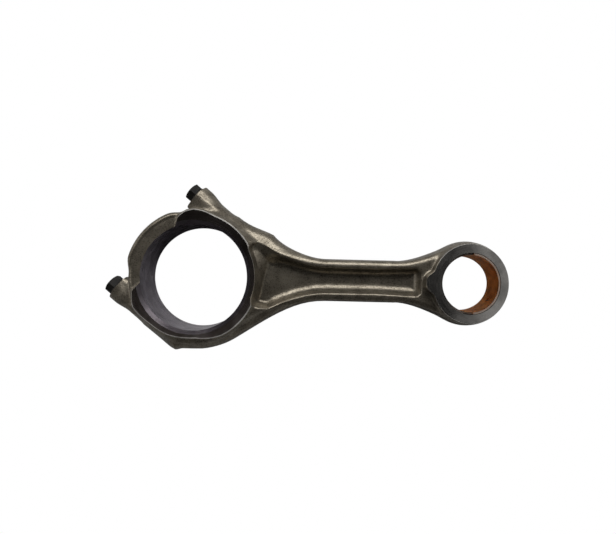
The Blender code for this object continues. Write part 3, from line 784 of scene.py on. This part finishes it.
def forgedMaterial(name, look):
    mat, tree, shader = startMaterial(name, look["metal"])
    shader.inputs["Specular IOR Level"].default_value = look.get("specular", 0.5)
    scale = addNode(tree, "ShaderNodeGroup", node_tree=forgeGroup)
    scale.inputs["Patch Scale"].default_value = look["patchScale"]
    scale.inputs["Grain Scale"].default_value = look["grainScale"]
    mottle = mapRange(tree, scale.outputs["Grain"], 0.1, 0.55)
    half = maths(tree, "MULTIPLY", maths(tree, "ADD", scale.outputs["Patches"], mottle), 0.5)
    colour = colourMix(tree, half, look["dark"], look["light"])
    rough = mapRange(tree, scale.outputs["Grain"], 0.0, 0.6, look["rough"][1], look["rough"][0])
    bump = addNode(tree, "ShaderNodeBump", {"Height": scale.outputs["Grain"], "Strength": look["bump"],
                                            "Distance": look["depth"]})
    tree.links.new(colour, shader.inputs["Base Color"])
    tree.links.new(rough, shader.inputs["Roughness"])
    tree.links.new(bump.outputs[0], shader.inputs["Normal"])
    return mat


def machinedMaterial(name, look, centre):
    mat, tree, shader = startMaterial(name, look["metal"])
    shader.inputs["Coat Weight"].default_value = look.get("coat", 0.0)
    shader.inputs["Coat Roughness"].default_value = 0.15
    tool = addNode(tree, "ShaderNodeGroup", node_tree=toolGroup)
    tool.inputs["Centre"].default_value = centre
    tool.inputs["Spacing"].default_value = look["spacing"]
    tool.inputs["Along Bore"].default_value = look["alongBore"]
    smear = mapRange(tree, tool.outputs["Smears"], 0.35, 0.65)
    colour = colourMix(tree, smear, look["dark"], look["light"])
    rough = mapRange(tree, tool.outputs["Marks"], 0.3, 0.7, *look["rough"])
    worn = maths(tree, "MULTIPLY_ADD", tool.outputs["Side"], look.get("sideRough", 0.0), rough)
    bump = addNode(tree, "ShaderNodeBump", {"Height": tool.outputs["Marks"], "Strength": look["bump"],
                                            "Distance": look["depth"]})
    tree.links.new(colour, shader.inputs["Base Color"])
    tree.links.new(worn, shader.inputs["Roughness"])
    tree.links.new(bump.outputs[0], shader.inputs["Normal"])
    return mat


finishes = {
    "skin": {"metal": 0.78, "dark": (0.07, 0.058, 0.042), "light": (0.27, 0.24, 0.19), "rough": (0.3, 0.46),
             "patchScale": 120, "grainScale": 800, "bump": 0.42, "depth": 0.00018},
    "ground": {"metal": 1.0, "dark": (0.24, 0.2, 0.18), "light": (0.44, 0.38, 0.36), "rough": (0.11, 0.19),
               "spacing": 2600, "sideRough": 0.22, "alongBore": 0.0, "bump": 0.03, "depth": 0.0001},
    "eye": {"metal": 1.0, "dark": (0.3, 0.29, 0.275), "light": (0.52, 0.5, 0.475), "rough": (0.13, 0.22),
            "spacing": 2600, "alongBore": 0.0, "bump": 0.03, "depth": 0.0001},
    "bore": {"metal": 1.0, "dark": (0.19, 0.165, 0.195), "light": (0.4, 0.36, 0.41), "rough": (0.22, 0.34),
             "spacing": 2000, "alongBore": 1.0, "bump": 0.04, "depth": 0.0001, "coat": 0.4},
    # Chamfer finish: the bore's own tint at about half its brightness; the darkening is painted shade on the
    # inward-facing chamfer.
    "chamfer": {"metal": 1.0, "dark": (0.1, 0.09, 0.1), "light": (0.19, 0.17, 0.185), "rough": (0.25, 0.36),
                "spacing": 2600, "alongBore": 0.0, "bump": 0.03, "depth": 0.0001},
    # Edge finish: bared worn metal at the machined rims, with a painted highlight in its near-white colour.
    "edge": {"metal": 1.0, "dark": (0.55, 0.53, 0.5), "light": (0.9, 0.87, 0.82), "rough": (0.3, 0.5),
             "spacing": 2600, "alongBore": 0.0, "bump": 0.03, "depth": 0.0001},
    "oxide": {"metal": 0.0, "dark": (0.004, 0.0035, 0.003), "light": (0.012, 0.011, 0.009),
              "rough": (0.4, 0.6), "specular": 0.12, "patchScale": 250, "grainScale": 3000, "bump": 0.3,
              "depth": 0.0001},
    "bronze": {"metal": 1.0, "dark": (0.6, 0.25, 0.06), "light": (0.98, 0.52, 0.18), "rough": (0.28, 0.42),
               "spacing": 2200, "alongBore": 1.0, "bump": 0.12, "depth": 0.0001},
    "bronzeEnd": {"metal": 1.0, "dark": (0.6, 0.45, 0.36), "light": (0.8, 0.66, 0.56), "rough": (0.2, 0.35),
                  "spacing": 2600, "alongBore": 0.0, "bump": 0.03, "depth": 0.0001},
}
forgeGroup = makeForgeGroup()
toolGroup = makeToolGroup()
pinCentre = crankCentre + Vector((rod["centres"] * mm, 0, 0))

print("blank")
blank = forgedBlank()
print("machining")
machine(blank)
body, cap = splitOff(blank)
skin = forgedMaterial("forgedSkin", finishes["skin"])
ground = machinedMaterial("groundFace", finishes["ground"], crankCentre)
eyeFace = machinedMaterial("eyeFace", finishes["eye"], pinCentre)
boreFinish = machinedMaterial("honedBore", finishes["bore"], crankCentre)
# The chamfer's darker colour is painted shade, not a different metal.
chamferShadedFinish = machinedMaterial("turnedChamferShaded", finishes["chamfer"], crankCentre)
# The edge finish is partly bare worn metal and partly a painted highlight.
wornEdgeHighlight = machinedMaterial("wornEdgeHighlight", finishes["edge"], crankCentre)
oxide = forgedMaterial("blackOxide", finishes["oxide"])
bronze = machinedMaterial("bushBronze", finishes["bronze"], pinCentre)
bronzeEnd = machinedMaterial("bushEnd", finishes["bronzeEnd"], pinCentre)
faceKinds = {"skin": 0, "ground": 1, "eye": 2, "bore": 3, "chamfer": 4, "edge": 5}
for piece in (body, cap):
    markSurfaces(piece.data, faceKinds)
    sharpen(piece.data, math.radians(28))
settle(body, "rodBody", (skin, ground, eyeFace, boreFinish, chamferShadedFinish, wornEdgeHighlight))
settle(cap, "bearingCap", (skin, ground, eyeFace, boreFinish, chamferShadedFinish, wornEdgeHighlight))
bushPiece = makeBush()
for face in bushPiece.data.polygons:
    face.material_index = int(abs(face.normal.z) > 0.9)
sharpen(bushPiece.data, math.radians(30))
settle(bushPiece, "smallEndBush", (bronze, bronzeEnd))
boltTree = makeBoltTree()
upperBolt = makeBolt(boltTree, "capBoltUpper", 1, oxide)
lowerBolt = makeBolt(boltTree, "capBoltLower", -1, oxide)
for obj in (upperBolt, lowerBolt):
    sharpen(obj.data, math.radians(30))
    settle(obj, obj.name, (oxide,))
pieces = [
    (body, "rod_body", "forged_steel"), (cap, "bearing_cap", "forged_steel"),
    (bushPiece, "small_end_bush", "bush_bronze"),
    (upperBolt, "cap_bolt_upper", "black_oxide"), (lowerBolt, "cap_bolt_lower", "black_oxide"),
]
for piece, node, slot in pieces:
    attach(piece, "root")
    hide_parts(node)
    print(piece.name, len(piece.data.polygons), "faces")

camera = {
    "offset": (74.779, 3.838, 331.97), "yaw": -0.623, "pitch": 0.884, "roll": 1.417,
    "focalShare": 460.65 / 616,
}


def addCamera():
    data = bpy.data.cameras.new("camera")
    data.lens = data.sensor_width * camera["focalShare"]
    data.clip_start = 0.01
    turn = (
        Matrix.Rotation(math.radians(camera["roll"]), 4, "Z")
        @ Matrix.Rotation(math.radians(camera["pitch"]), 4, "X")
        @ Matrix.Rotation(math.radians(camera["yaw"]), 4, "Y")
    )
    obj = addObject("camera", data)
    obj.matrix_world = Matrix.Translation(crankCentre + Vector(camera["offset"]) * mm) @ turn
    scene.camera = obj


def addLight(name, place, size, power, colour=(1, 1, 1)):
    data = bpy.data.lights.new(name, "AREA")
    data.shape = "RECTANGLE"
    data.size, data.size_y = size
    data.energy = power
    data.color = colour
    obj = addObject(name, data)
    middle = Vector((0, 0, 0.019))
    obj.location = middle + Vector(place)
    obj.rotation_euler = (middle - obj.location).to_track_quat("-Z", "Y").to_euler()


studio = {
    "overheadDark": 0.012, "sideGlow": 0.16, "backBoost": 0.08, "rightBoost": 0.04,
    "glowFrom": 0.72, "glowTo": 0.4,
    "floorBounce": (0.45, 0.45, 0.45),
}


def addFloor():
    build = bmesh.new()
    bmesh.ops.create_grid(build, x_segments=1, y_segments=1, size=3)
    bmesh.ops.translate(build, verts=build.verts, vec=(0, 0, -0.0004))
    floor = addObject("floor", meshFrom("floor", build))
    mat = bpy.data.materials.new("whitePaper")
    mat.use_nodes = True
    tree = mat.node_tree
    shader = tree.nodes["Principled BSDF"]
    shader.inputs["Base Color"].default_value = (*studio["floorBounce"], 1)
    shader.inputs["Roughness"].default_value = 0.9
    glow = addNode(tree, "ShaderNodeEmission", {"Color": (1, 1, 1, 1), "Strength": 1.0})
    seen = addNode(tree, "ShaderNodeLightPath")
    mix = addNode(tree, "ShaderNodeMixShader", {0: seen.outputs["Is Camera Ray"], 1: shader.outputs[0],
                                                2: glow.outputs[0]})
    tree.links.new(mix.outputs[0], tree.nodes["Material Output"].inputs["Surface"])
    floor.data.materials.append(mat)


def addWorld():
    # A dark ceiling over a glow all round, stronger behind and to the right.
    t = studio
    world = bpy.data.worlds.new("studio")
    world.use_nodes = True
    tree = world.node_tree
    where = addNode(tree, "ShaderNodeTexCoord").outputs["Generated"]
    split = addNode(tree, "ShaderNodeSeparateXYZ", {0: where})
    low = addNode(tree, "ShaderNodeMapRange", {"Value": split.outputs["Z"], "From Min": t["glowTo"],
                                               "From Max": t["glowFrom"], "To Min": 1.0, "To Max": 0.0},
                  interpolation_type="SMOOTHSTEP")
    back = maths(tree, "MULTIPLY_ADD", split.outputs["Y"], t["backBoost"], t["sideGlow"])
    side = maths(tree, "MULTIPLY_ADD", split.outputs["X"], t["rightBoost"], back)
    glow = maths(tree, "MULTIPLY_ADD", low.outputs[0], side, t["overheadDark"])
    tree.nodes["Background"].inputs["Color"].default_value = (1.0, 0.98, 0.95, 1)
    tree.links.new(glow, tree.nodes["Background"].inputs["Strength"])
    scene.world = world


addCamera()
addLight("backSoftbox", (0.02, 0.74, 0.70), (1.6, 0.62), 13.0)
addLight("rightSoftbox", (0.78, -0.02, 0.62), (0.8, 0.38), 0.35)
addLight("leftFill", (-0.85, 0.1, 0.4), (0.6, 0.4), 0.8)
addFloor()
addWorld()
scene.view_settings.view_transform = "Standard"
